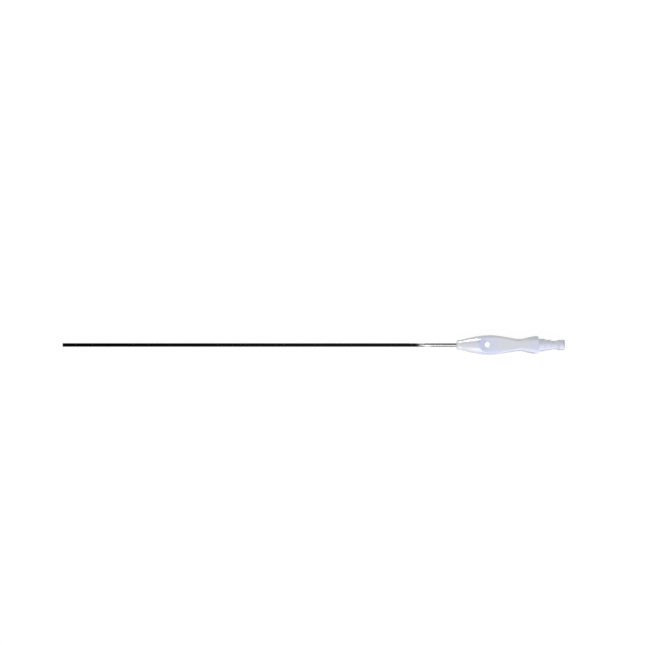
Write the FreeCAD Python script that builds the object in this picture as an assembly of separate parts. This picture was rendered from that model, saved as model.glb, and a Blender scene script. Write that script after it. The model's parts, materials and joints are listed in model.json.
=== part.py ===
import FreeCAD, Part

# A straight yankauer suction tip for deep sites: a long thin suction tube in a moulded handle.
#
# The tube is drawn steel, open from end to end. A thin black sleeve covers it from the tip to a
# slanted edge a little way in front of the handle. The handle is one white moulding. Its grip
# swells and narrows like a bottle, and its upper side is scooped out as a rest for the thumb. A
# vent opens in the rest: a thumb over it sends the suction to the tip. Behind the grip's flared end
# comes a stepped nose for the suction hose.
#
# Everything is drawn along the suction axis first: +X runs back towards the hose, x is 0 where the
# tube enters the handle, and +Z is the side of the vent. The finished pieces are then laid down as
# the real thing lies on a table, on the belly of the grip and the tip of the tube.
import math
import os

from FreeCAD import Placement, Rotation, Vector

# The suction tube
TUBE_OUTER_R = 1.4
TUBE_BORE_R = 1.2
TUBE_REACH = 330.0
TUBE_SEAT_DEPTH = 18.0
TUBE_EDGE_R = 0.06

# The black sleeve on the tube: flush with it at the tip, cut on a slant at the rear
SLEEVE_WALL = 0.08
BARE_TUBE_LENGTH = 35.8
SLEEVE_SLANT_RUN = 3.0
SLEEVE_SLANT_TURN = 30.0

# The handle's nose, a short blunt cone where the tube enters
NOSE_FRONT_R = 3.9
NOSE_BACK_R = 4.4
NOSE_LENGTH = 4.4
NOSE_EDGE_R = 1.2

# The grip, as stations of its side view: distance behind the nose's front, radius, slope
GRIP_START = (NOSE_LENGTH, 4.5, 0.28)
GRIP_BULGE = (27.5, 8.25, 0.0)
GRIP_FALL = (43.3, 6.4, -0.185)
GRIP_WAIST = (53.0, 5.1, 0.0)
GRIP_RISE = (60.0, 6.42, 0.235)
GRIP_FLARE = (67.6, 7.56, 0.0)
FLARE_EDGE_R = 0.35
FLARE_BACK_X = 69.1

# The thumb rest, scooped out of the grip's upper side, as stations of its floor's side view
REST_SHOULDER_X = 19.7
REST_SHOULDER_SLOPE = -1.2
REST_FRONT = (23.2, 5.6, -0.08)
REST_WAIST = (51.0, 4.2, 0.0)
REST_RISE = (60.0, 5.75, 0.17)
REST_BACK = (70.0, 6.3, 0.0)
REST_EDGE_R = 0.3
SCOOP_CLEARANCE = 6.0

# The vent
VENT_X = 26.0
VENT_R = 2.4
VENT_RIM_R = 0.4

# The hose nose behind the grip, as corners of its outline: distance, radius, rounding
HOSE_COLLAR_R = 5.25
HOSE_STEP_R = 4.5
HOSE_NECK_R = 3.55
HOSE_HEAD_R = 4.35
HOSE_END_X = 90.6
HOSE_END_EDGE_R = 1.1
HOSE_HEAD_X = 85.3
HOSE_HEAD_LIP = 0.15
HOSE_STEP_TAPER = 0.15
HOSE_CORNERS = (
    (73.4, HOSE_COLLAR_R, 0.8),
    (74.9, HOSE_STEP_R - HOSE_STEP_TAPER, 0.6),
    (78.3, HOSE_STEP_R, 0.6),
    (79.6, HOSE_NECK_R, 0.5),
    (82.4, HOSE_NECK_R, 1.2),
    (HOSE_HEAD_X, HOSE_HEAD_R - HOSE_HEAD_LIP, 0.0),
    (HOSE_HEAD_X, HOSE_HEAD_R, 0.06),
    (HOSE_END_X, HOSE_HEAD_R, HOSE_END_EDGE_R),
)

# The passage inside the handle
LUMEN_R = 2.6
FUNNEL_LENGTH = 3.5
LUMEN_MOUTH_CHAMFER = 0.25

# How often the tilt is corrected until both ends touch the table
TILT_STEPS = 4

# How near an edge must lie to a place to be the one that is meant
NEAR = 0.05
ABOUT = 0.5

AXIS_START = Vector(0, 0, 0)
AXIS = Vector(1, 0, 0)
UP = Vector(0, 0, 1)
SIDE = Vector(0, 1, 0)


def at(x, height):
    """A point of a side view, in the plane of the axis and the vent."""
    return Vector(x, 0, height)


def line(start, end):
    return Part.LineSegment(start, end).toShape()


def flow(start, end):
    """The curve from one station to the next, where a station is (distance, height, slope)."""
    third = (end[0] - start[0]) / 3
    poles = [
        at(start[0], start[1]),
        at(start[0] + third, start[1] + third * start[2]),
        at(end[0] - third, end[1] - third * end[2]),
        at(end[0], end[1]),
    ]
    curve = Part.BezierCurve()
    curve.setPoles(poles)
    return curve.toShape()


def flowing(stations):
    """The smooth curve through a row of stations."""
    return [flow(before, after) for before, after in zip(stations, stations[1:])]


def flow_height(start, end, x):
    """The height of that same curve at distance x: with even poles its distance runs evenly."""
    span = end[0] - start[0]
    t = (x - start[0]) / span
    rest = 1 - t
    return (
        start[1] * rest * rest * (1 + 2 * t)
        + start[2] * span * t * rest * rest
        - end[2] * span * t * t * rest
        + end[1] * t * t * (3 - 2 * t)
    )


def rounded_path(corners):
    """Straight runs through (distance, height, rounding) corners, with a tangent arc in each corner."""
    edges = []
    last = at(corners[0][0], corners[0][1])
    for before, corner, after in zip(corners, corners[1:], corners[2:]):
        here = at(corner[0], corner[1])
        back = (at(before[0], before[1]) - here).normalize()
        ahead = (at(after[0], after[1]) - here).normalize()
        half_angle = back.getAngle(ahead) / 2
        if corner[2] == 0:
            edges.append(line(last, here))
            last = here
            continue
        reach = corner[2] / math.tan(half_angle)
        arc_start = here + back * reach
        arc_end = here + ahead * reach
        middle_way = (back + ahead).normalize()
        arc_middle = here + middle_way * (corner[2] / math.sin(half_angle) - corner[2])
        if (arc_start - last).Length > 1e-6:
            edges.append(line(last, arc_start))
        edges.append(Part.Arc(arc_start, arc_middle, arc_end).toShape())
        last = arc_end
    edges.append(line(last, at(corners[-1][0], corners[-1][1])))
    return edges


def turned(edges):
    """The solid that a closed outline sweeps out around the suction axis."""
    face = Part.Face(Part.Wire(edges))
    return face.revolve(AXIS_START, AXIS, 360)


def pipe(outer_r, inner_r, start_x, end_x):
    length = end_x - start_x
    outer = Part.makeCylinder(outer_r, length, at(start_x, 0), AXIS)
    inner = Part.makeCylinder(inner_r, length, at(start_x, 0), AXIS)
    return outer.cut(inner)


def edges_near(shape, wanted):
    """The edges of a shape whose middle passes the test."""
    found = []
    for edge in shape.Edges:
        first, last = edge.ParameterRange
        if wanted(edge, edge.valueAt((first + last) / 2)):
            found.append(edge)
    return found


def is_tip_edge(edge, middle):
    return edge.Closed and middle.x < -TUBE_REACH + NEAR


def suction_tube():
    """Drawn steel tube, open at both ends, with its end edges broken by a fine rounding."""
    tube = pipe(TUBE_OUTER_R, TUBE_BORE_R, -TUBE_REACH, TUBE_SEAT_DEPTH)
    return tube.makeFillet(TUBE_EDGE_R, edges_near(tube, is_tip_edge)).Solids[0]


def sleeve_slant():
    """The direction square to the sleeve's slanted rear edge."""
    turn = math.radians(SLEEVE_SLANT_TURN)
    across = Vector(0, -math.cos(turn), math.sin(turn))
    return (AXIS - across * SLEEVE_SLANT_RUN).normalize()


def black_sleeve():
    """Thin sleeve shrunk on the tube, cut square at the tip and on a slant in front of the handle."""
    outer_r = TUBE_OUTER_R + SLEEVE_WALL
    slant_reach = outer_r * SLEEVE_SLANT_RUN
    end_x = -BARE_TUBE_LENGTH + slant_reach
    whole = pipe(outer_r, TUBE_OUTER_R, -TUBE_REACH, end_x + 1)
    cutter_size = 4 * slant_reach
    cutter = Part.makeBox(cutter_size, cutter_size, cutter_size)
    cutter.translate(Vector(0, -cutter_size / 2, -cutter_size / 2))
    cutter.Placement = Placement(at(-BARE_TUBE_LENGTH, 0), Rotation(AXIS, sleeve_slant())) * cutter.Placement
    return whole.cut(cutter).Solids[0]


def grip_outline():
    """The handle's outer side view from its nose to the end of the hose nose."""
    nose = rounded_path(
        (
            (0, TUBE_OUTER_R, 0),
            (0, NOSE_FRONT_R, NOSE_EDGE_R),
            (NOSE_LENGTH, NOSE_BACK_R, 0),
        )
    )
    crease = [line(at(NOSE_LENGTH, NOSE_BACK_R), at(GRIP_START[0], GRIP_START[1]))]
    grip = flowing((GRIP_START, GRIP_BULGE, GRIP_FALL, GRIP_WAIST, GRIP_RISE, GRIP_FLARE))
    behind = (
        (GRIP_FLARE[0], GRIP_FLARE[1], 0),
        (GRIP_FLARE[0] + FLARE_EDGE_R, GRIP_FLARE[1], FLARE_EDGE_R / 2),
        (FLARE_BACK_X, HOSE_COLLAR_R, 0),
        *HOSE_CORNERS,
        (HOSE_END_X, LUMEN_R + LUMEN_MOUTH_CHAMFER, 0),
    )
    return nose + crease + grip + rounded_path(behind)


def passage_outline():
    """The way through the handle, from the hose end forwards: lumen, funnel, seat of the tube."""
    corners = (
        at(HOSE_END_X, LUMEN_R + LUMEN_MOUTH_CHAMFER),
        at(HOSE_END_X - LUMEN_MOUTH_CHAMFER, LUMEN_R),
        at(TUBE_SEAT_DEPTH + FUNNEL_LENGTH, LUMEN_R),
        at(TUBE_SEAT_DEPTH, TUBE_BORE_R),
        at(TUBE_SEAT_DEPTH, TUBE_OUTER_R),
        at(0, TUBE_OUTER_R),
    )
    return [line(a, b) for a, b in zip(corners, corners[1:])]


def rest_shoulder():
    """The station where the scoop starts to leave the grip's surface."""
    height = flow_height(GRIP_START, GRIP_BULGE, REST_SHOULDER_X)
    return (REST_SHOULDER_X, height, REST_SHOULDER_SLOPE)


def scoop():
    """What is taken out above the thumb rest, as wide as the whole grip."""
    shoulder = rest_shoulder()
    lead_in = (
        shoulder[0] - SCOOP_CLEARANCE,
        shoulder[1] - SCOOP_CLEARANCE * shoulder[2],
    )
    outline = [
        line(at(*lead_in), at(shoulder[0], shoulder[1])),
        *flowing((shoulder, REST_FRONT, REST_WAIST, REST_RISE, REST_BACK)),
        line(at(REST_BACK[0], REST_BACK[1]), at(REST_BACK[0], lead_in[1])),
        line(at(REST_BACK[0], lead_in[1]), at(*lead_in)),
    ]
    half_width = GRIP_BULGE[1] + SCOOP_CLEARANCE
    slab = Part.Face(Part.Wire(outline)).extrude(SIDE * 2 * half_width)
    slab.translate(SIDE * -half_width)
    return slab


def vent_cutter():
    return Part.makeCylinder(VENT_R, GRIP_BULGE[1] + SCOOP_CLEARANCE, at(VENT_X, 0), UP)


def is_vent_rim(edge, middle):
    beside = math.hypot(middle.x - VENT_X, middle.y)
    return abs(beside - VENT_R) < NEAR and middle.z > LUMEN_R + VENT_RIM_R


def runs_across(edge):
    """Whether an edge runs square to the axis at both its ends."""
    ends = (edge.FirstParameter, edge.LastParameter)
    return all(abs(edge.tangentAt(end).x) < NEAR for end in ends)


def is_rest_edge(edge, middle):
    """The edges where the scoop meets the round of the grip."""
    in_grip = REST_SHOULDER_X - ABOUT < middle.x < GRIP_FLARE[0] + ABOUT
    aside = abs(middle.y) > ABOUT
    high = middle.z > REST_WAIST[1] / 2
    return in_grip and aside and high and not runs_across(edge)


def handle():
    """One moulding: grip, thumb rest, vent and hose nose, with the passage right through it."""
    body = turned(grip_outline() + passage_outline())
    body = body.cut(scoop())
    body = body.makeFillet(REST_EDGE_R, edges_near(body, is_rest_edge))
    body = body.cut(vent_cutter())
    body = body.makeFillet(VENT_RIM_R, edges_near(body, is_vent_rim))
    return body.Solids[0]


def tight_box(shape):
    return shape.optimalBoundingBox(False, False)


def lie_down(shapes):
    """Tips the pieces nose down until belly and tip both meet the table, then centres them over the origin."""
    tilt = 0.0
    for step in range(TILT_STEPS):
        belly_above_tip = tight_box(shapes["handle"]).ZMin - tight_box(shapes["black_sleeve"]).ZMin
        turn = math.degrees(math.atan2(-belly_above_tip, TUBE_REACH + GRIP_BULGE[0]))
        tilt += turn
        for shape in shapes.values():
            shape.rotate(AXIS_START, SIDE, -turn)
    box = tight_box(Part.makeCompound(list(shapes.values())))
    to_origin = Vector(-box.Center.x, 0, -box.ZMin)
    for shape in shapes.values():
        shape.translate(to_origin)
    return tilt, to_origin


def main():
    shapes = {
        "suction_tube": suction_tube(),
        "black_sleeve": black_sleeve(),
        "handle": handle(),
    }
    tilt, to_origin = lie_down(shapes)
    print("lies nose down by %.4f degrees, moved by %s" % (tilt, tuple(round(v, 4) for v in to_origin)))
    for name, shape in shapes.items():
        print(name, "lowest at %.4f mm" % tight_box(shape).ZMin)
    os.makedirs("parts", exist_ok=True)
    for name, shape in shapes.items():
        shape.exportStep("parts/%s.step" % name)
        print(name, "valid", shape.isValid(), "solids", len(shape.Solids), "volume %.2f mm3" % shape.Volume)


main()
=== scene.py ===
# %% [markdown]
# A straight suction tip, dressed for its photograph.
#
# The real thing is a long steel tube, 2.8 mm thick. It wears a thin black film and sits in a glossy
# white handle. The measured frame is loaded first and never moved. Three new pieces then take the
# places of its three solids, with finer surfaces and real finishes, in the same place and size.

import json
import math

import bmesh
import bpy
from mathutils import Matrix, Vector
from mathutils.geometry import interpolate_bezier


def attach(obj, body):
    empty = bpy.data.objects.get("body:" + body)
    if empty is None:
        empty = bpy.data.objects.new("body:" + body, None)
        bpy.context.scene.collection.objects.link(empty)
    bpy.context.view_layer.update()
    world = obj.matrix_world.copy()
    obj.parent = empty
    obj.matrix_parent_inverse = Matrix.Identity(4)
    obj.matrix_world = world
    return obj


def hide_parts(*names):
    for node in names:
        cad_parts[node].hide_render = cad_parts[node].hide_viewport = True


MM = 0.001

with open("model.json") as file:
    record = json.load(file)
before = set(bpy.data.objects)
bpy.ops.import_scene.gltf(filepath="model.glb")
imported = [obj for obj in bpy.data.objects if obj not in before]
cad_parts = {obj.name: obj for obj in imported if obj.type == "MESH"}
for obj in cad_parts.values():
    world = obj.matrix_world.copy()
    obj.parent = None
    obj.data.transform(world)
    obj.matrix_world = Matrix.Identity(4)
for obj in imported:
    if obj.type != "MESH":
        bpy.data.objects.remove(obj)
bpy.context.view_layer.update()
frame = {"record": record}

# %% [markdown]
# The camera comes first, because every later choice is judged through it. The photograph looks
# straight down on the tip, with the handle to the right and a wide white margin all around. One
# pixel is 0.84 mm wide. The tube shows no perspective at all, so the lens is very long and the camera
# stands far off.

# %% Camera
PHOTO_PIXELS = 645
MM_PER_PIXEL = 0.837
VIEW_CENTRE = (7.5 * MM, 18.84 * MM)
AXIS_HEIGHT = 8 * MM
LENS = 300.0

camera_data = bpy.data.cameras.new("camera")
camera_data.lens = LENS
view_width = PHOTO_PIXELS * MM_PER_PIXEL * MM
camera_height = view_width * LENS / camera_data.sensor_width + AXIS_HEIGHT
camera = bpy.data.objects.new("camera", camera_data)
camera.location = (*VIEW_CENTRE, camera_height)
bpy.context.scene.collection.objects.link(camera)
bpy.context.scene.camera = camera
print("camera %.3f m above the table" % camera_height)

# %% [markdown]
# The pieces are drawn like a workshop drawing: in millimetres, along a straight axis, with x = 0 at
# the front of the handle. The frame's record says where the real axis runs, a little uphill towards
# the hose, because the tip lies on the table on its belly. One matrix carries the drawing there.

# %% From the drawing to the table
HOSE_HEAD_MIDDLE = 87.4

mounts = {mount["name"]: mount for mount in frame["record"]["mounts"]}
along = Vector(mounts["hose_nose"]["axis"]).normalized()
across = Vector((0, 1, 0))
upward = along.cross(across)
handle_front = Vector(mounts["hose_nose"]["pos_m"]) - along * HOSE_HEAD_MIDDLE * MM
turn = Matrix((along, across, upward)).transposed().to_4x4()
drawing_to_table = Matrix.Translation(handle_front) @ turn @ Matrix.Scale(MM, 4)
print("axis climbs %.2f degrees" % math.degrees(math.atan2(along.z, along.x)))

# %% [markdown]
# Every piece is finished in the same way. Points that meet are merged, faces are turned outwards, and
# the mesh is carried to the table. It is shaded smooth, apart from its real edges, which are sharper
# than 35 degrees. The solids that the piece replaces are hidden, and it rides on the root.

# %% Finish a piece
MERGE_DISTANCE = 0.0005
SHARP_ANGLE = math.radians(35)


def finish_piece(mesh, name, slot, *nodes):
    """Lays a finished drawing on the table as a piece that replaces CAD nodes."""
    data = bpy.data.meshes.new(name)
    bmesh.ops.remove_doubles(mesh, verts=mesh.verts, dist=MERGE_DISTANCE)
    bmesh.ops.recalc_face_normals(mesh, faces=mesh.faces)
    mesh.to_mesh(data)
    mesh.free()
    data.transform(drawing_to_table)
    data.shade_smooth()
    data.set_sharp_from_angle(angle=SHARP_ANGLE)
    piece = bpy.data.objects.new(name, data)
    bpy.context.scene.collection.objects.link(piece)
    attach(piece, "root")
    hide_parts(*nodes)
    print(name, "has", sum(len(face.vertices) - 2 for face in data.polygons), "triangles")
    return piece


print("points within", MERGE_DISTANCE, "mm are merged")

# %% [markdown]
# Everything on this object is round, so everything starts on a lathe: an outline is drawn in the
# plane of the axis and spun around it. The outline is a loop of straight lines, and a round corner is
# a bevel of its vertex. A bevel's offset is measured along the edges, so the offset for a wanted
# radius follows from the angle of the corner.

# %% The lathe
ROUNDING_STEPS = 6
TUBE_AXIS = (1, 0, 0)


def draw_outline(mesh, corners):
    """A closed outline of (distance, height, rounding) corners, each rounded corner bevelled."""
    points = [mesh.verts.new((x, 0, height)) for x, height, _ in corners]
    for start, end in zip(points, points[1:] + points[:1]):
        mesh.edges.new((start, end))
    befores = corners[-1:] + corners[:-1]
    afters = corners[1:] + corners[:1]
    for point, corner, before, after in zip(points, corners, befores, afters):
        rounding = corner[2]
        if rounding == 0:
            continue
        here = Vector(corner[:2])
        back = Vector(before[:2]) - here
        ahead = Vector(after[:2]) - here
        half_angle = back.angle(ahead) / 2
        bmesh.ops.bevel(
            mesh,
            geom=[point],
            affect="VERTICES",
            offset=rounding / math.tan(half_angle),
            segments=ROUNDING_STEPS,
            profile=0.5,
            material=-1,
        )


def spin_around(mesh, axis, steps):
    """Spins the whole outline once around an axis through the origin."""
    bmesh.ops.spin(
        mesh,
        geom=mesh.verts[:] + mesh.edges[:],
        cent=(0, 0, 0),
        axis=axis,
        angle=math.tau,
        steps=steps,
        use_merge=True,
    )
    bmesh.ops.remove_doubles(mesh, verts=mesh.verts, dist=MERGE_DISTANCE)


print("a round corner has", ROUNDING_STEPS, "segments")

# %% [markdown]
# The suction tube is drawn steel with a wall of only 0.2 mm, open at both ends. The edges of its tip
# are smoothed for the patient's sake, so they get a fine rounding. The rear end sits 18 mm deep in
# the handle.

# %% The suction tube
TUBE_OUTER_R = 1.4
TUBE_BORE_R = 1.2
TUBE_REACH = 330.0
TUBE_SEAT_DEPTH = 18.0
TUBE_EDGE_R = 0.06
TUBE_STEPS = 96

tube_mesh = bmesh.new()
draw_outline(
    tube_mesh,
    [
        (-TUBE_REACH, TUBE_OUTER_R, TUBE_EDGE_R),
        (TUBE_SEAT_DEPTH, TUBE_OUTER_R, 0),
        (TUBE_SEAT_DEPTH, TUBE_BORE_R, 0),
        (-TUBE_REACH, TUBE_BORE_R, TUBE_EDGE_R),
    ],
)
spin_around(tube_mesh, TUBE_AXIS, TUBE_STEPS)
tube = finish_piece(tube_mesh, "steel_tube", "steel", "suction_tube")

# %% [markdown]
# The black film is shrunk on the tube. It is flush with the tip and ends on a slant in front of the
# handle. It is spun a little too long and then cut by one slanted plane, as a knife would do it. The
# cut leaves the wall open, so the two new rims are bridged.

# %% The black film
FILM_WALL = 0.08
FILM_CLEARANCE = 0.004
FILM_END = -35.8
FILM_SPARE = 1.0
FILM_SLANT_RUN = 3.0
FILM_SLANT_TURN = math.radians(30.0)

film_across = Vector((0, -math.cos(FILM_SLANT_TURN), math.sin(FILM_SLANT_TURN)))
film_cut = (Vector((1, 0, 0)) - film_across * FILM_SLANT_RUN).normalized()
film_r = TUBE_OUTER_R + FILM_WALL
film_inner_r = TUBE_OUTER_R + FILM_CLEARANCE
film_longest = FILM_END + film_r * FILM_SLANT_RUN + FILM_SPARE

film_mesh = bmesh.new()
draw_outline(
    film_mesh,
    [
        (-TUBE_REACH, film_r, 0),
        (film_longest, film_r, 0),
        (film_longest, film_inner_r, 0),
        (-TUBE_REACH, film_inner_r, 0),
    ],
)
spin_around(film_mesh, TUBE_AXIS, TUBE_STEPS)
cut = bmesh.ops.bisect_plane(
    film_mesh,
    geom=film_mesh.verts[:] + film_mesh.edges[:] + film_mesh.faces[:],
    plane_co=(FILM_END, 0, 0),
    plane_no=film_cut,
    clear_outer=True,
)
rims = [edge for edge in cut["geom_cut"] if isinstance(edge, bmesh.types.BMEdge)]
bmesh.ops.bridge_loops(film_mesh, edges=rims)
film = finish_piece(film_mesh, "black_film", "black_film", "black_sleeve")

# %% [markdown]
# The handle is one white moulding. Its side view starts as a blunt nose, swells and narrows like a
# bottle, flares out, and ends in a stepped nose for the hose. The grip is a flowing curve through a
# few stations, each with its slope, and the two noses are straight lines with rounded corners. The
# passage for the tube and the suction is part of the same closed outline, so one spin makes the
# outside and the inside.

# %% The handle's sizes
NOSE_FRONT_R = 3.9
NOSE_BACK_R = 4.4
NOSE_LENGTH = 4.4
NOSE_EDGE_R = 1.2

# Each station of the grip is a distance, a radius and a slope
GRIP_START = (NOSE_LENGTH, 4.5, 0.28)
GRIP_BULGE = (27.5, 8.25, 0.0)
GRIP_FALL = (43.3, 6.4, -0.185)
GRIP_WAIST = (53.0, 5.1, 0.0)
GRIP_RISE = (60.0, 6.42, 0.235)
GRIP_FLARE = (67.6, 7.56, 0.0)
GRIP_STEPS = 40
FLARE_EDGE_R = 0.35
FLARE_BACK_X = 69.1

# Each corner of the hose nose is a distance, a radius and a rounding
HOSE_CORNERS = [
    (73.4, 5.25, 0.8),
    (74.9, 4.35, 0.6),
    (78.3, 4.5, 0.6),
    (79.6, 3.55, 0.5),
    (82.4, 3.55, 1.2),
    (85.3, 4.2, 0),
    (85.3, 4.35, 0.06),
    (90.6, 4.35, 1.1),
]
HOSE_COLLAR_R = HOSE_CORNERS[0][1]
HOSE_END_X = HOSE_CORNERS[-1][0]

LUMEN_R = 2.6
FUNNEL_LENGTH = 3.5
MOUTH_CHAMFER = 0.25
print("the handle is", HOSE_END_X, "mm long and", 2 * GRIP_BULGE[1], "mm wide")

# %% The handle's outline
def curve_points(stations, steps):
    """Points of the smooth curve through (distance, height, slope) stations, without its first point."""
    points = []
    for start, end in zip(stations, stations[1:]):
        start_x, start_height, start_slope = start
        end_x, end_height, end_slope = end
        third = (end_x - start_x) / 3
        first = Vector((start_x, 0, start_height))
        last = Vector((end_x, 0, end_height))
        leave = first + Vector((third, 0, third * start_slope))
        arrive = last - Vector((third, 0, third * end_slope))
        points += interpolate_bezier(first, leave, arrive, last, steps + 1)[1:]
    return points


grip = curve_points((GRIP_START, GRIP_BULGE, GRIP_FALL, GRIP_WAIST, GRIP_RISE, GRIP_FLARE), GRIP_STEPS)
outline = [
    (0, TUBE_OUTER_R, 0),
    (0, NOSE_FRONT_R, NOSE_EDGE_R),
    (NOSE_LENGTH, NOSE_BACK_R, 0),
    (GRIP_START[0], GRIP_START[1], 0),
    *[(point.x, point.z, 0) for point in grip],
    (GRIP_FLARE[0] + FLARE_EDGE_R, GRIP_FLARE[1], FLARE_EDGE_R / 2),
    (FLARE_BACK_X, HOSE_COLLAR_R, 0),
    *HOSE_CORNERS,
    (HOSE_END_X, LUMEN_R + MOUTH_CHAMFER, 0),
    (HOSE_END_X - MOUTH_CHAMFER, LUMEN_R, 0),
    (TUBE_SEAT_DEPTH + FUNNEL_LENGTH, LUMEN_R, 0),
    (TUBE_SEAT_DEPTH, TUBE_BORE_R, 0),
    (TUBE_SEAT_DEPTH, TUBE_OUTER_R, 0),
]
print("outline has", len(outline), "corners before rounding")

# %% [markdown]
# The thumb rest is a long scoop in the upper side. It could be cut with a boolean, but its edge would
# then run across the lathe's mesh in jagged little triangles. Instead the upper points are pressed
# down on the scoop's floor, like warm clay under a former. First comes the floor: a straight lead-in
# down the shoulder, and then a smooth curve through stations, as for the grip.

# %% The floor of the thumb rest
REST_SHOULDER_X = 19.7
REST_SHOULDER_SLOPE = -1.2
REST_FRONT = (23.2, 5.6, -0.08)
REST_WAIST = (51.0, 4.2, 0.0)
REST_RISE = (60.0, 5.75, 0.17)
REST_BACK_X = 70.0
REST_BACK = (REST_BACK_X, 6.3, 0.0)


def station_height(stations, x):
    """The height of the smooth curve through the stations, at distance x."""
    for start, end in zip(stations, stations[1:]):
        if x <= end[0]:
            break
    start_x, start_height, start_slope = start
    end_x, end_height, end_slope = end
    span = end_x - start_x
    t = (x - start_x) / span
    left = 1 - t
    return (
        start_height * left * left * (1 + 2 * t)
        + start_slope * span * t * left * left
        - end_slope * span * t * t * left
        + end_height * t * t * (3 - 2 * t)
    )


shoulder_height = station_height((GRIP_START, GRIP_BULGE), REST_SHOULDER_X)
rest_shoulder = (REST_SHOULDER_X, shoulder_height, REST_SHOULDER_SLOPE)
rest_stations = (rest_shoulder, REST_FRONT, REST_WAIST, REST_RISE, REST_BACK)


def rest_height(x):
    """The scoop's floor: a straight lead-in above the shoulder, then the stations."""
    if x < REST_SHOULDER_X:
        return shoulder_height + (x - REST_SHOULDER_X) * REST_SHOULDER_SLOPE
    return station_height(rest_stations, x)


print("the scoop starts %.2f mm above the axis" % shoulder_height)

# %% [markdown]
# The handle is spun, and then its upper points are lowered to the floor. A soft minimum of the two
# heights leaves the edge of the rest slightly rounded, as a mould does. The points of the passage
# inside are left alone.

# %% Spin the handle and press the thumb rest
HANDLE_STEPS = 224
REST_SOFTNESS = 0.4
REST_LEAD_IN = 3.0
PASSAGE_KEEP = 0.5
LEAST_PRESS = 0.001


def soft_minimum(first, second, softness):
    """The lower of two heights, with a rounded crossing."""
    closeness = max(softness - abs(first - second), 0) / softness
    return min(first, second) - closeness * closeness * softness / 4


handle_mesh = bmesh.new()
draw_outline(handle_mesh, outline)
spin_around(handle_mesh, TUBE_AXIS, HANDLE_STEPS)

pressed = 0
for point in handle_mesh.verts:
    x, y, height = point.co
    outside = math.hypot(y, height) > LUMEN_R + PASSAGE_KEEP
    if outside and height > 0 and REST_SHOULDER_X - REST_LEAD_IN < x < REST_BACK_X:
        lower = soft_minimum(height, rest_height(x), REST_SOFTNESS)
        pressed += lower < height - LEAST_PRESS
        point.co.z = lower
print("pressed", pressed, "points down to the thumb rest")

# %% [markdown]
# The vent is a round hole from the rest down into the passage. A boolean suits it, because the hole
# is one clean cut. The cutter is a spun trumpet: a straight pin with a flared top, so the hole gets
# its rounded rim in the same cut. The rest slopes a little there, and the flare follows it.

# %% The vent's cutter
VENT_X = 26.0
VENT_R = 2.4
VENT_RIM_R = 0.4
VENT_RIM_STEPS = 8
VENT_STEPS = 128
VENT_BLEND = math.radians(72)
VENT_TOP_RUN = 0.6
VENT_CUTTER_TOP = 6.0
VENT_AXIS = (0, 0, 1)

vent_floor = rest_height(VENT_X)
vent_slope = (rest_height(VENT_X + 1) - rest_height(VENT_X - 1)) / 2

profile = [(0, -vent_floor), (VENT_R, -vent_floor)]
for step in range(VENT_RIM_STEPS + 1):
    angle = VENT_BLEND * step / VENT_RIM_STEPS
    radius = VENT_R + VENT_RIM_R * (1 - math.cos(angle))
    profile.append((radius, VENT_RIM_R * (math.sin(angle) - 1)))
top_r = profile[-1][0] + VENT_TOP_RUN * math.sin(VENT_BLEND)
profile.append((top_r, profile[-1][1] + VENT_TOP_RUN * math.cos(VENT_BLEND)))
profile += [(top_r, VENT_CUTTER_TOP), (0, VENT_CUTTER_TOP)]

vent_mesh = bmesh.new()
points = [vent_mesh.verts.new((radius, 0, height)) for radius, height in profile]
for start, end in zip(points, points[1:]):
    vent_mesh.edges.new((start, end))
spin_around(vent_mesh, VENT_AXIS, VENT_STEPS)
bmesh.ops.recalc_face_normals(vent_mesh, faces=vent_mesh.faces)
for point in vent_mesh.verts:
    point.co += Vector((VENT_X, 0, vent_floor + vent_slope * point.co.x))
print("the cutter's flare ends at %.2f mm radius" % top_r)

# %% [markdown]
# A boolean is a modifier, and modifiers work on objects. So the handle and the cutter become two
# objects for a moment, the exact solver cuts one out of the other, and the result is read back.

# %% Cut the vent
def boolean_cut(body, cutter):
    """Cuts one bmesh out of another with an exact boolean and returns the result as a bmesh."""
    objects = []
    for name, mesh in (("cut_body", body), ("cut_tool", cutter)):
        data = bpy.data.meshes.new(name)
        mesh.to_mesh(data)
        mesh.free()
        made = bpy.data.objects.new(name, data)
        bpy.context.scene.collection.objects.link(made)
        objects.append(made)
    modifier = objects[0].modifiers.new("cut", "BOOLEAN")
    modifier.operation = "DIFFERENCE"
    modifier.solver = "EXACT"
    modifier.object = objects[1]
    graph = bpy.context.evaluated_depsgraph_get()
    result = bmesh.new()
    result.from_mesh(objects[0].evaluated_get(graph).to_mesh())
    for made in objects:
        data = made.data
        bpy.data.objects.remove(made)
        bpy.data.meshes.remove(data)
    return result


bmesh.ops.recalc_face_normals(handle_mesh, faces=handle_mesh.faces)
handle_mesh = boolean_cut(handle_mesh, vent_mesh)
handle = finish_piece(handle_mesh, "white_handle", "white_plastic", "handle")

# %% [markdown]
# A shader can be written as formulas instead of a web of boxes. Socket wraps one output of a node,
# and arithmetic on it adds the Math nodes. The reflected forms let a number stand first, as in
# 1 - mask.

# %% Shader arithmetic
class Socket:
    """One output of a node, on which + - * / add Math nodes."""

    def __init__(self, paint, output):
        self.paint = paint
        self.output = output

    def math(self, operation, *values):
        inputs = dict(enumerate((self, *values)))
        return self.paint.node("ShaderNodeMath", {"operation": operation}, inputs)

    def __add__(self, other):
        return self.math("ADD", other)

    def __radd__(self, other):
        return self.math("ADD", other)

    def __sub__(self, other):
        return self.math("SUBTRACT", other)

    def __rsub__(self, other):
        return self.math("MULTIPLY", -1.0).math("ADD", other)

    def __mul__(self, other):
        return self.math("MULTIPLY", other)

    def __rmul__(self, other):
        return self.math("MULTIPLY", other)

    def __truediv__(self, other):
        return self.math("DIVIDE", other)

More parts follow.
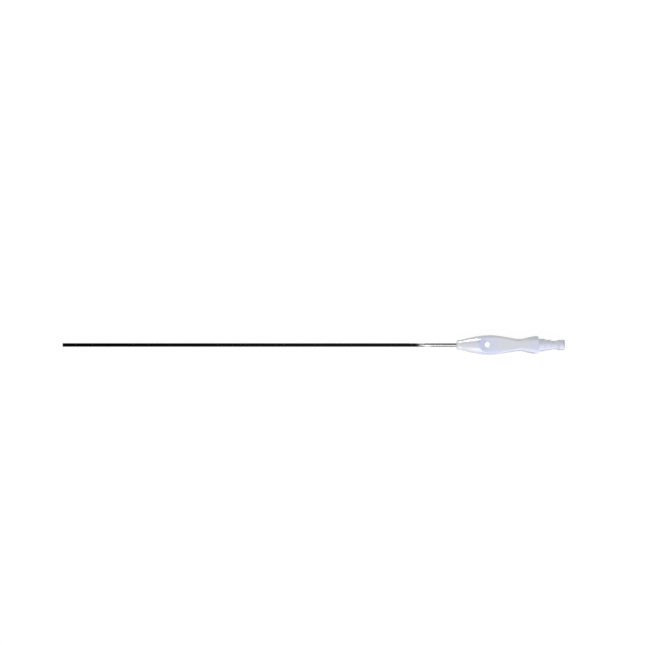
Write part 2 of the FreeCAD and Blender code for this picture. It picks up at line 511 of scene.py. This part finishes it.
# %% [markdown]
# Paint is a material, or the world, while it is being mixed. One method makes any node, from its
# type, its settings and what goes into its sockets. The nodes that come back often get a short name:
# a blend of colours, a soft ramp, a band between two ramps, noise and bump. A Mix node has sockets
# of the same name for numbers, vectors and colours, so its colours are chosen by number.

# %% Paint
MIX_FIRST_COLOUR = 6
MIX_SECOND_COLOUR = 7
MIX_COLOUR_OUT = 2


class Paint:
    """A material or a world that is being mixed."""

    def __init__(self, owner):
        owner.use_nodes = True
        self.owner = owner
        self.tree = owner.node_tree
        self.tree.nodes.clear()

    def node(self, kind, settings=None, inputs=None, out=0):
        made = self.tree.nodes.new(kind)
        for name, value in (settings or {}).items():
            setattr(made, name, value)
        for name, value in (inputs or {}).items():
            if isinstance(value, Socket):
                self.tree.links.new(value.output, made.inputs[name])
            else:
                made.inputs[name].default_value = value
        return Socket(self, made.outputs[out]) if made.outputs else made

    def blend(self, factor, first, second):
        """A colour between two colours."""
        inputs = {"Factor": factor, MIX_FIRST_COLOUR: first, MIX_SECOND_COLOUR: second}
        return self.node("ShaderNodeMix", {"data_type": "RGBA"}, inputs, out=MIX_COLOUR_OUT)

    def ramp(self, value, start, end, low=0.0, high=1.0):
        """A number that goes smoothly from low to high while value goes from start to end."""
        inputs = {"Value": value, "From Min": start, "From Max": end, "To Min": low, "To Max": high}
        return self.node("ShaderNodeMapRange", {"interpolation_type": "SMOOTHSTEP"}, inputs)

    def band(self, value, rise, fall):
        """1 between two flanks, which are (start, end) pairs of a rising and a falling ramp."""
        return self.ramp(value, *rise) * self.ramp(value, *fall)

    def stretched(self, place, factors):
        """A place that runs slower or faster along each axis."""
        return self.node("ShaderNodeVectorMath", {"operation": "MULTIPLY"}, {0: place, 1: factors})

    def noise(self, place, scale, detail, roughness):
        inputs = {"Vector": place, "Scale": scale, "Detail": detail, "Roughness": roughness}
        return self.node("ShaderNodeTexNoise", inputs=inputs)

    def bump(self, height, strength, depth):
        """A bump of a depth in millimetres."""
        inputs = {"Height": height, "Strength": strength, "Distance": depth * MM}
        return self.node("ShaderNodeBump", inputs=inputs)

    def finish(self, shader, piece):
        """Ends the paint in its shader and lays it on a piece."""
        self.node("ShaderNodeOutputMaterial", inputs={"Surface": shader})
        piece.data.materials.append(self.owner)
        print(self.owner.name, "has", len(self.tree.nodes), "nodes")


def new_paint(name):
    return Paint(bpy.data.materials.new(name))


def rgb(red, green, blue):
    return (red, green, blue, 1.0)


def grey(value):
    return rgb(value, value, value)

# %% [markdown]
# The finishes follow the shape: a line along the tube, or a tint where the handle is thick. They are
# easiest to place in the drawing's own millimetres. A Mapping node of the TEXTURE kind reads the
# drawing's matrix backwards, from Object coordinates, so each paint knows x, y and z on the drawing.

# %% Places on the drawing
OBJECT_COORDINATES = 3


def drawing_place(paint):
    """The point of the surface in the drawing's millimetres, as a vector and as x, y and z."""
    on_object = paint.node("ShaderNodeTexCoord", out=OBJECT_COORDINATES)
    inputs = {
        "Vector": on_object,
        "Location": handle_front,
        "Rotation": turn.to_euler(),
        "Scale": (MM, MM, MM),
    }
    place = paint.node("ShaderNodeMapping", {"vector_type": "TEXTURE"}, inputs)
    split = paint.node("ShaderNodeSeparateXYZ", inputs={"Vector": place})
    outputs = split.output.node.outputs
    return place, Socket(paint, outputs[0]), Socket(paint, outputs[1]), Socket(paint, outputs[2])


def beyond_film(x, y, z):
    """How far a point lies beyond the film's slanted edge, measured along the axis."""
    from_cut = (x - FILM_END) * film_cut.x + y * film_cut.y + z * film_cut.z
    return from_cut / film_cut.x


print("drawing starts at x = %.1f mm on the table" % (handle_front.x / MM))

# %% [markdown]
# Drawn steel is polished, but the drawing die leaves fine lines along it. Noise that is stretched
# along the tube gives them, as a faint bump and as a small change in colour and roughness. Broad soft
# patches are mixed in, so that the lines don't look ruled.

# %% Steel: fine lines
DRAWN_STRETCH = (0.02, 6.0, 6.0)
LINES_SHARE = 0.7
PATCHES_SHARE = 0.3
SHADE_SPAN = (0.35, 0.65)

steel_paint = new_paint("drawn_steel")
place, x, y, z = drawing_place(steel_paint)
lines = steel_paint.noise(
    steel_paint.stretched(place, DRAWN_STRETCH), scale=3.0, detail=4.0, roughness=0.6
)
patches = steel_paint.noise(place, scale=0.12, detail=2.0, roughness=0.5)
steel_shade = steel_paint.ramp(lines * LINES_SHARE + patches * PATCHES_SHARE, *SHADE_SPAN)
steel_bump = steel_paint.bump(lines, strength=0.12, depth=0.02)
print("fine lines are stretched", round(DRAWN_STRETCH[1] / DRAWN_STRETCH[0]), "times along the tube")

# %% [markdown]
# A round mirror shows its room as lines. On the bare tube the photograph shows one bright line along
# the top, with a dark flank on either side of it. In a plain white room they would be lost, so they
# are painted by y, the distance from the tube's middle. Close to the film the far flank is darkest.

# %% Steel: bright and dark lines
BRIGHT_LINE_Y = ((-0.70, -0.55), (0.04, -0.10))
BRIGHT_LINE_Z = (0.9, 1.1)
NEAR_TO_FAR_Y = (-0.6, 0.1)
FLANK_LIFT_X = (-34.0, -28.0)
NEAR_FLANK = grey(0.012)
FAR_FLANK_AT_FILM = grey(0.003)
FAR_FLANK = grey(0.15)
STEEL_DARK = rgb(0.46, 0.459, 0.45)
STEEL_LIGHT = rgb(0.53, 0.529, 0.52)

far_flank = steel_paint.blend(steel_paint.ramp(x, *FLANK_LIFT_X), FAR_FLANK_AT_FILM, FAR_FLANK)
flanks = steel_paint.blend(steel_paint.ramp(y, *NEAR_TO_FAR_Y), NEAR_FLANK, far_flank)
polished = steel_paint.blend(steel_shade, STEEL_DARK, STEEL_LIGHT)
bright_line = steel_paint.band(y, *BRIGHT_LINE_Y) * steel_paint.ramp(z, *BRIGHT_LINE_Z)
steel_colour = steel_paint.blend(bright_line, flanks, polished)
print("bright line from y = %.2f to %.2f mm" % (BRIGHT_LINE_Y[0][0], BRIGHT_LINE_Y[1][0]))

# %% [markdown]
# Behind the film's worn, slanted edge the steel is painted black, fading out just beyond the cut. Then
# comes a short band with a painted highlight, brighter than the bare steel. Both share one dark line
# just beyond the tube's middle, a painted dark reflection, and a pale far rim, a painted highlight. The
# end at the tip is painted black as well. The fade runs by the distance from the film's slanted cut, and
# the film's own paint uses the same distance and the same dark line, so that the two meet without a
# step.

# %% Steel: behind the film
FILM_FADE_START = -1.8
FILM_FADE_END = 6.0
DARK_LINE_Y = ((-0.1, 0.1), (1.2, 1.1))
FAR_RIM_Y = (1.1, 1.2)
PAINTED_HIGHLIGHT_BAND = ((3.0, 7.0), (12.5, 8.0))
HIGHLIGHT_LEAST = 0.5
DARK_LINE_KEEPS = 0.9
TIP_BLACK_X = (4.0 - TUBE_REACH, 2.0 - TUBE_REACH)
HIGHLIGHT_STEEL = grey(0.55)
HIGHLIGHT_RIM = grey(0.9)
STEEL_BLACK = rgb(0.010, 0.010, 0.011)
STEEL_BLACK_LINE = grey(0.001)


def dark_line_share(paint, y):
    """1 along the dark line just beyond the tube's middle, a painted dark reflection."""
    return paint.band(y, *DARK_LINE_Y)


def far_rim_share(paint, y):
    """1 on the tube's far rim, beyond the dark line, where a pale highlight is painted."""
    return paint.ramp(y, *FAR_RIM_Y)


behind_film = beyond_film(x, y, z)
dark_line = dark_line_share(steel_paint, y)
far_rim = far_rim_share(steel_paint, y)
# Painted highlight: a brighter band beyond the cut, paler still on the far rim.
painted_highlight = steel_paint.band(behind_film, *PAINTED_HIGHLIGHT_BAND) * (1 - dark_line * DARK_LINE_KEEPS)
highlight_colour = steel_paint.blend(far_rim, HIGHLIGHT_STEEL, HIGHLIGHT_RIM)
highlight_share = painted_highlight * (HIGHLIGHT_LEAST + far_rim * (1 - HIGHLIGHT_LEAST))
steel_colour = steel_paint.blend(highlight_share, steel_colour, highlight_colour)
# Painted black on the steel behind the cut, fading out, with a darker painted reflection line.
black_fade = steel_paint.ramp(behind_film, FILM_FADE_END, FILM_FADE_START)
blackened = black_fade.math("MAXIMUM", steel_paint.ramp(x, *TIP_BLACK_X))
steel_black_colour = steel_paint.blend(dark_line, STEEL_BLACK, STEEL_BLACK_LINE)
steel_colour = steel_paint.blend(blackened, steel_colour, steel_black_colour)
print("black fades over %.1f mm around the cut" % (FILM_FADE_END - FILM_FADE_START))

# %% [markdown]
# The shader is a plain metal. Its specular tint is black, so that the dark stretches stay dark where
# the surface turns away: a metal would otherwise be white at a glancing angle.

# %% Steel: the shader
STEEL_ROUGHNESS = 0.10
STEEL_ROUGHNESS_CHANGE = 0.05

steel_shader = steel_paint.node(
    "ShaderNodeBsdfPrincipled",
    inputs={
        "Base Color": steel_colour,
        "Metallic": 1.0,
        "Roughness": STEEL_ROUGHNESS + steel_shade * STEEL_ROUGHNESS_CHANGE,
        "Specular Tint": grey(0.0),
        "Normal": steel_bump,
    },
)
steel_paint.finish(steel_shader, tube)

# %% [markdown]
# The black film is a satin shrink film. It is deepest black at the tip, and a painted sheen greys it
# slightly towards the handle. Over its slanted rear edge it is worn, and the steel shows through: there
# the paint turns into a smoother metal, grey with the same painted dark reflection line and painted pale
# far rim as the steel behind it.

# %% Black film
FILM_STRETCH = (0.25, 1.0, 1.0)
GRAIN_SHARE = 0.1
FILM_ROUGHNESS = 0.55
WORN_SMOOTHER = 0.4
RIPPLE_CHANGE = 0.05
FILM_BLACK_TIP = grey(0.0003)
FILM_BLACK_SHEEN_REAR = rgb(0.006, 0.006, 0.0063)
WORN_GREY = rgb(0.27, 0.273, 0.275)
WORN_DARK_REFLECTION = grey(0.004)
WORN_RIM_HIGHLIGHT = grey(0.8)

film_paint = new_paint("satin_black_film")
place, x, y, z = drawing_place(film_paint)
ripple = film_paint.noise(
    film_paint.stretched(place, FILM_STRETCH), scale=0.8, detail=3.0, roughness=0.55
)
grain = film_paint.noise(place, scale=9.0, detail=2.0, roughness=0.5)
# Painted sheen: the black greys slightly from the tip towards the handle.
film_black = film_paint.blend(
    film_paint.ramp(x, -TUBE_REACH, FILM_END), FILM_BLACK_TIP, FILM_BLACK_SHEEN_REAR
)
# The dark line and the pale far rim of the worn edge are a painted reflection and a painted highlight.
worn_colour = film_paint.blend(dark_line_share(film_paint, y), WORN_GREY, WORN_DARK_REFLECTION)
worn_colour = film_paint.blend(far_rim_share(film_paint, y), worn_colour, WORN_RIM_HIGHLIGHT)
worn = film_paint.ramp(beyond_film(x, y, z), FILM_FADE_START, FILM_FADE_END)
film_shader = film_paint.node(
    "ShaderNodeBsdfPrincipled",
    inputs={
        "Base Color": film_paint.blend(worn, film_black, worn_colour),
        "Metallic": worn,
        "Roughness": FILM_ROUGHNESS - worn * WORN_SMOOTHER + ripple * RIPPLE_CHANGE,
        "Specular IOR Level": 0.02,
        "Normal": film_paint.bump(ripple + grain * GRAIN_SHARE, strength=0.05, depth=0.05),
    },
)
film_paint.finish(film_shader, film)

# %% [markdown]
# The handle is a white plastic with a cool cast. Its mould was polished, so the only texture is a
# very faint orange peel. A cloudy noise keeps the white from being quite the same everywhere.

# %% Plastic: white and orange peel
CLOUD_SPAN = (0.3, 0.7)
WHITE_DARK = grey(0.705)
WHITE_LIGHT = grey(0.72)

plastic_paint = new_paint("glossy_white_plastic")
place, x, y, z = drawing_place(plastic_paint)
peel = plastic_paint.noise(place, scale=0.7, detail=2.0, roughness=0.4)
peel_bump = plastic_paint.bump(peel, strength=0.15, depth=0.02)
cloud = plastic_paint.noise(place, scale=0.05, detail=2.0, roughness=0.5)
white = plastic_paint.blend(plastic_paint.ramp(cloud, *CLOUD_SPAN), WHITE_DARK, WHITE_LIGHT)
print("white between", WHITE_DARK[0], "and", WHITE_LIGHT[0])

# %% [markdown]
# White plastic lets some light in, and where it is thick that light looks lavender; here it is a painted
# lavender tint. It lies on the front of the grip, in the flare, and most of all on the steep shoulder of
# the thumb rest, where it is a darker painted shade. The far flank gets a painted grey shade instead,
# and behind the flare, where the moulding is thinner, that shade starts closer to the middle. Light that
# really wanders through the plastic could be traced, but the painted tint is gentler on the computer and
# can be placed where the photograph shows it.

# %% Plastic: painted lavender tint and shade
FRONT_TINT_X = ((12.0, 20.0), (42.0, 22.0))
FLARE_TINT_X = (50.0, 66.0)
FLARE_TINT_SHARE = 0.7
FAR_SHADE_Y = (2.5, 4.5)
FAR_SHADE_SHIFT_X = (67.0, 72.0)
FAR_SHADE_SHIFT = 3.5
SHADE_OVER_TINT = 0.85
LAVENDER_TINT = rgb(0.665, 0.68, 0.765)
SHOULDER_X = ((17.5, 20.0), (26.0, 23.0))
SHOULDER_HALF_WIDTH = (4.6, 3.8)
SHOULDER_SHARE = 0.6
SHOULDER_SHADE = rgb(0.55, 0.565, 0.70)

# Painted shade: greyer on the far flank, and nearer the middle behind the flare.
far_shade = plastic_paint.ramp(y + plastic_paint.ramp(x, *FAR_SHADE_SHIFT_X) * FAR_SHADE_SHIFT, *FAR_SHADE_Y)
# Painted lavender tint on the front of the grip and in the flare.
front_tint = plastic_paint.band(x, *FRONT_TINT_X)
flare_tint = plastic_paint.ramp(x, *FLARE_TINT_X) * FLARE_TINT_SHARE
painted_tint = front_tint + flare_tint * (1 - far_shade * SHADE_OVER_TINT)
white = plastic_paint.blend(painted_tint, white, LAVENDER_TINT)
# Painted shade, darker and lavender, on the steep shoulder of the thumb rest.
shoulder_shade = plastic_paint.band(x, *SHOULDER_X)
shoulder_shade = shoulder_shade * plastic_paint.ramp(y.math("ABSOLUTE"), *SHOULDER_HALF_WIDTH)
white = plastic_paint.blend(shoulder_shade * SHOULDER_SHARE, white, SHOULDER_SHADE)
print("shoulder from x = %.1f to %.1f mm" % (SHOULDER_X[0][0], SHOULDER_X[1][0]))

# %% [markdown]
# A soft studio leaves bands along a round white handle: greyer on the far side, a little brighter on
# the near side, and darker again at the near rim. How far round a point lies is its height over its
# distance from the axis, 1 on top and 0 at the side. The near rim's shade is left out at the end of
# the flare, which turns its face to the light.

# %% Plastic: bands along the sides
BACK_GREY_X = (52.0, 62.0)
BACK_GREY_SHARE = 0.5
BACK_GREY = grey(0.60)
FAR_Y = (-1.0, 1.0)
NEAR_Y = (1.0, -1.0)
FAR_SIDE_HEIGHT = (0.6, 0.25)
FAR_SIDE = rgb(0.61, 0.61, 0.615)
NEAR_BAND_HEIGHT = (0.82, 0.68)
NEAR_BAND_X = (24.0, 34.0)
NEAR_BAND = rgb(0.74, 0.755, 0.83)
NEAR_RIM_HEIGHT = (0.68, 0.42)
NEAR_RIM_X = (36.0, 52.0)
NEAR_RIM_FRONT_SHARE = 0.35
NEAR_RIM = rgb(0.46, 0.47, 0.54)
FLARE_END_X = ((64.0, 66.5), (69.6, 69.0))

height_share = (z / (y * y + z * z).math("SQRT")).math("ABSOLUTE")
far = plastic_paint.ramp(y, *FAR_Y)
near = plastic_paint.ramp(y, *NEAR_Y)
back_grey = far_shade * plastic_paint.ramp(x, *BACK_GREY_X) * BACK_GREY_SHARE
white = plastic_paint.blend(back_grey, white, BACK_GREY)
far_side = plastic_paint.ramp(height_share, *FAR_SIDE_HEIGHT) * far
white = plastic_paint.blend(far_side, white, FAR_SIDE)
near_band = plastic_paint.ramp(height_share, *NEAR_BAND_HEIGHT) * plastic_paint.ramp(x, *NEAR_BAND_X)
white = plastic_paint.blend(near_band * near, white, NEAR_BAND)
near_rim = plastic_paint.ramp(height_share, *NEAR_RIM_HEIGHT)
near_rim = near_rim * plastic_paint.ramp(x, *NEAR_RIM_X, NEAR_RIM_FRONT_SHARE, 1.0) * near
flare_end = plastic_paint.band(x, *FLARE_END_X)
white = plastic_paint.blend(near_rim * (1 - flare_end), white, NEAR_RIM)
print("the paint has", len(plastic_paint.tree.nodes), "nodes after its bands")

# %% [markdown]
# Two small places on the hose nose are painted darker: a painted shadow on the near side of the lip that
# holds the hose, and the rounded edge at the very end.

# %% Plastic: lip and end of the hose nose
LIP_X = ((84.0, 84.9), (87.2, 85.8))
LIP_SHARE = 0.5
LIP_SHADOW = rgb(0.48, 0.48, 0.50)
END_EDGE_X = (88.8, 90.0)
END_EDGE_Y = (-3.0, 1.0)
END_EDGE_SHARE = 0.6
END_EDGE_GREY = rgb(0.38, 0.38, 0.48)

# Painted shadow on the near side of the lip.
lip_shadow = plastic_paint.band(x, *LIP_X) * near
white = plastic_paint.blend(lip_shadow * LIP_SHARE, white, LIP_SHADOW)
end_edge = plastic_paint.ramp(x, *END_EDGE_X) * plastic_paint.ramp(y, *END_EDGE_Y)
white = plastic_paint.blend(end_edge * END_EDGE_SHARE, white, END_EDGE_GREY)
print("lip from x = %.1f to %.1f mm" % (LIP_X[0][0], LIP_X[1][0]))

# %% [markdown]
# The wall around the vent is thin, and light that comes through it makes the hole look bright instead
# of dark. A faint emission does that. Its mask is a flat ellipse that is cut off at the hole's wall,
# and it begins below the rim, so that the rim keeps its shading.

# %% Plastic: glow in the vent
VENT_WALL_R = (VENT_R + 0.5, VENT_R + 0.1)
BELOW_RIM_Z = (vent_floor - 0.8, vent_floor - 1.6)
GLOW_X = 25.6
GLOW_Y = 0.3
GLOW_R = (2.6, 1.7)
GLOW_SQUEEZE = 1.55
GLOW_EDGE = 0.45
GLOW_MIDDLE = 0.85
GLOW_COLOUR = rgb(1, 1, 0.98)

beside_vent = ((x - VENT_X) * (x - VENT_X) + y * y).math("SQRT")
in_vent = plastic_paint.ramp(beside_vent, *VENT_WALL_R) * plastic_paint.ramp(z, *BELOW_RIM_Z)
from_glow = ((x - GLOW_X) * (x - GLOW_X) + (y - GLOW_Y) * (y - GLOW_Y) * GLOW_SQUEEZE).math("SQRT")
glow = in_vent * plastic_paint.ramp(from_glow, *GLOW_R, GLOW_EDGE, GLOW_MIDDLE)
print("glow starts %.1f mm above the axis" % BELOW_RIM_Z[0])

# %% [markdown]
# The nose and the front of the grip are the glossiest, and show a clear streak: a coat on top of the
# plastic gives it. Towards the flare the gloss is a little softer. Below the surface some light
# scatters, equally in all colours, which fills the small shadows as in any white moulding.

# %% Plastic: gloss and the shader
GLOSSY_X = (28.0, 20.0)
NOSE_X = (2.0, 7.0)
NOSE_SHARE = 0.4
SOFTER_X = (45.0, 58.0)
PLASTIC_ROUGHNESS = 0.30
PEEL_CHANGE = 0.06
GLOSSIER = 0.08
SOFTER = 0.12
COAT_SHARE = 0.6

glossy = plastic_paint.ramp(x, *GLOSSY_X) * plastic_paint.ramp(x, *NOSE_X, NOSE_SHARE, 1.0)
roughness = PLASTIC_ROUGHNESS + peel * PEEL_CHANGE - glossy * GLOSSIER
roughness = roughness + plastic_paint.ramp(x, *SOFTER_X) * SOFTER
plastic_shader = plastic_paint.node(
    "ShaderNodeBsdfPrincipled",
    inputs={
        "Base Color": white,
        "Roughness": roughness,
        "Subsurface Weight": 0.25,
        "Subsurface Radius": (1.0, 1.0, 1.0),
        "Subsurface Scale": 1.2 * MM,
        "Specular IOR Level": 0.33,
        "Coat Weight": glossy * COAT_SHARE,
        "Coat Roughness": 0.2,
        "Emission Color": plastic_paint.blend(glow, grey(0.0), GLOW_COLOUR),
        "Emission Strength": 1.0,
        "Normal": peel_bump,
    },
)
plastic_paint.finish(plastic_shader, handle)

# %% [markdown]
# The ground of the photograph is pure white. A white floor would need a lot of light to look white,
# and that light would wash out the handle. So the floor shows plain white to the camera and in
# reflections, and mixes in some ordinary matt white, which still takes the object's shadow.

# %% The floor
FLOOR_SIZE = 6.0
FLOOR_MATT = grey(0.9)
FLOOR_PLAIN_STRENGTH = 1.04
FLOOR_PLAIN_SHARE = 0.9

floor_mesh = bmesh.new()
bmesh.ops.create_grid(floor_mesh, x_segments=1, y_segments=1, size=FLOOR_SIZE)
floor_data = bpy.data.meshes.new("floor")
floor_mesh.to_mesh(floor_data)
floor_mesh.free()
floor = bpy.data.objects.new("floor", floor_data)
bpy.context.scene.collection.objects.link(floor)


def seen_directly(paint):
    """1 for rays from the camera, a mirror or a glass, 0 for the rays that carry light."""
    path = paint.node("ShaderNodeLightPath").output.node.outputs
    names = ("Is Camera Ray", "Is Glossy Ray", "Is Transmission Ray")
    camera_ray, glossy_ray, clear_ray = [Socket(paint, path[name]) for name in names]
    return camera_ray.math("MAXIMUM", glossy_ray).math("MAXIMUM", clear_ray)


floor_paint = new_paint("white_ground")
matt = floor_paint.node("ShaderNodeBsdfDiffuse", inputs={"Color": FLOOR_MATT})
plain_inputs = {"Color": grey(1.0), "Strength": FLOOR_PLAIN_STRENGTH}
plain = floor_paint.node("ShaderNodeEmission", inputs=plain_inputs)
plain_share = seen_directly(floor_paint) * FLOOR_PLAIN_SHARE
ground = floor_paint.node("ShaderNodeMixShader", inputs={0: plain_share, 1: matt, 2: plain})
floor_paint.finish(ground, floor)

# %% [markdown]
# The room around it is plain white too, and lights everything evenly. What is seen directly, or in
# the steel, has the full strength of 1. The light that it sends on the object is weaker, so that the
# white handle doesn't burn out and the lamps can still shape it.

# %% The room
ROOM_LIGHT = 0.64

room = bpy.data.worlds.new("room")
bpy.context.scene.world = room
room_paint = Paint(room)
strength = ROOM_LIGHT + seen_directly(room_paint) * (1.0 - ROOM_LIGHT)
sky = room_paint.node("ShaderNodeBackground", inputs={"Color": grey(1.0), "Strength": strength})
room_paint.node("ShaderNodeOutputWorld", inputs={"Surface": sky})
print("the room lights the object at", ROOM_LIGHT, "of its own white")

# %% [markdown]
# Four soft lamps do the rest. The key stands on the near side and lifts the near half of the handle.
# It is kept out of reflections, and the panel below it is seen in them alone, so that the shading of
# the plastic and the gloss on it can be set apart. A cool lamp beyond the hose nose tints what faces
# it. The last is a low strip on the far side, for reflections alone: the white streak on the nose.

# %% Lamps
def soft_lamp(name, place, target, size, power, colour):
    """A rectangular lamp that the camera doesn't see, turned to a target."""
    data = bpy.data.lights.new(name, "AREA")
    data.shape = "RECTANGLE"
    data.size, data.size_y = size
    data.energy = power
    data.color = colour
    lamp = bpy.data.objects.new(name, data)
    lamp.location = place
    lamp.rotation_euler = (Vector(target) - Vector(place)).to_track_quat("-Z", "Y").to_euler()
    lamp.visible_camera = False
    bpy.context.scene.collection.objects.link(lamp)
    print(name, "gives", power, "W")
    return lamp


key = soft_lamp(
    "key",
    place=(0.12, -0.89, 0.95),
    target=(0.12, 0, 0),
    size=(1.0, 0.7),
    power=8.0,
    colour=(0.86, 0.88, 1.0),
)
key.visible_glossy = False
panel = soft_lamp(
    "panel",
    place=(0.10, -1.148, 0.61),
    target=(0.10, 0, 0),
    size=(1.0, 1.16),
    power=18.0,
    colour=(0.88, 0.90, 1.0),
)
panel.visible_diffuse = False
soft_lamp(
    "cool_side",
    place=(1.2, -0.1, 0.7),
    target=(0.14, 0, 0),
    size=(0.6, 0.6),
    power=2.4,
    colour=(0.30, 0.45, 1.0),
)
streak = soft_lamp(
    "streak",
    place=(0.0515, 0.25, 0.066),
    target=(0.13, 0, 0.01),
    size=(0.059, 0.10),
    power=0.75,
    colour=(1, 1, 1),
)
streak.visible_diffuse = False

# %% [markdown]
# The Standard view shows a colour as it was written. Blender's usual view would bend the whites down
# to grey, as film does, and the white ground with them.

# %% Standard colours
bpy.context.scene.view_settings.view_transform = "Standard"
print("view transform:", bpy.context.scene.view_settings.view_transform)
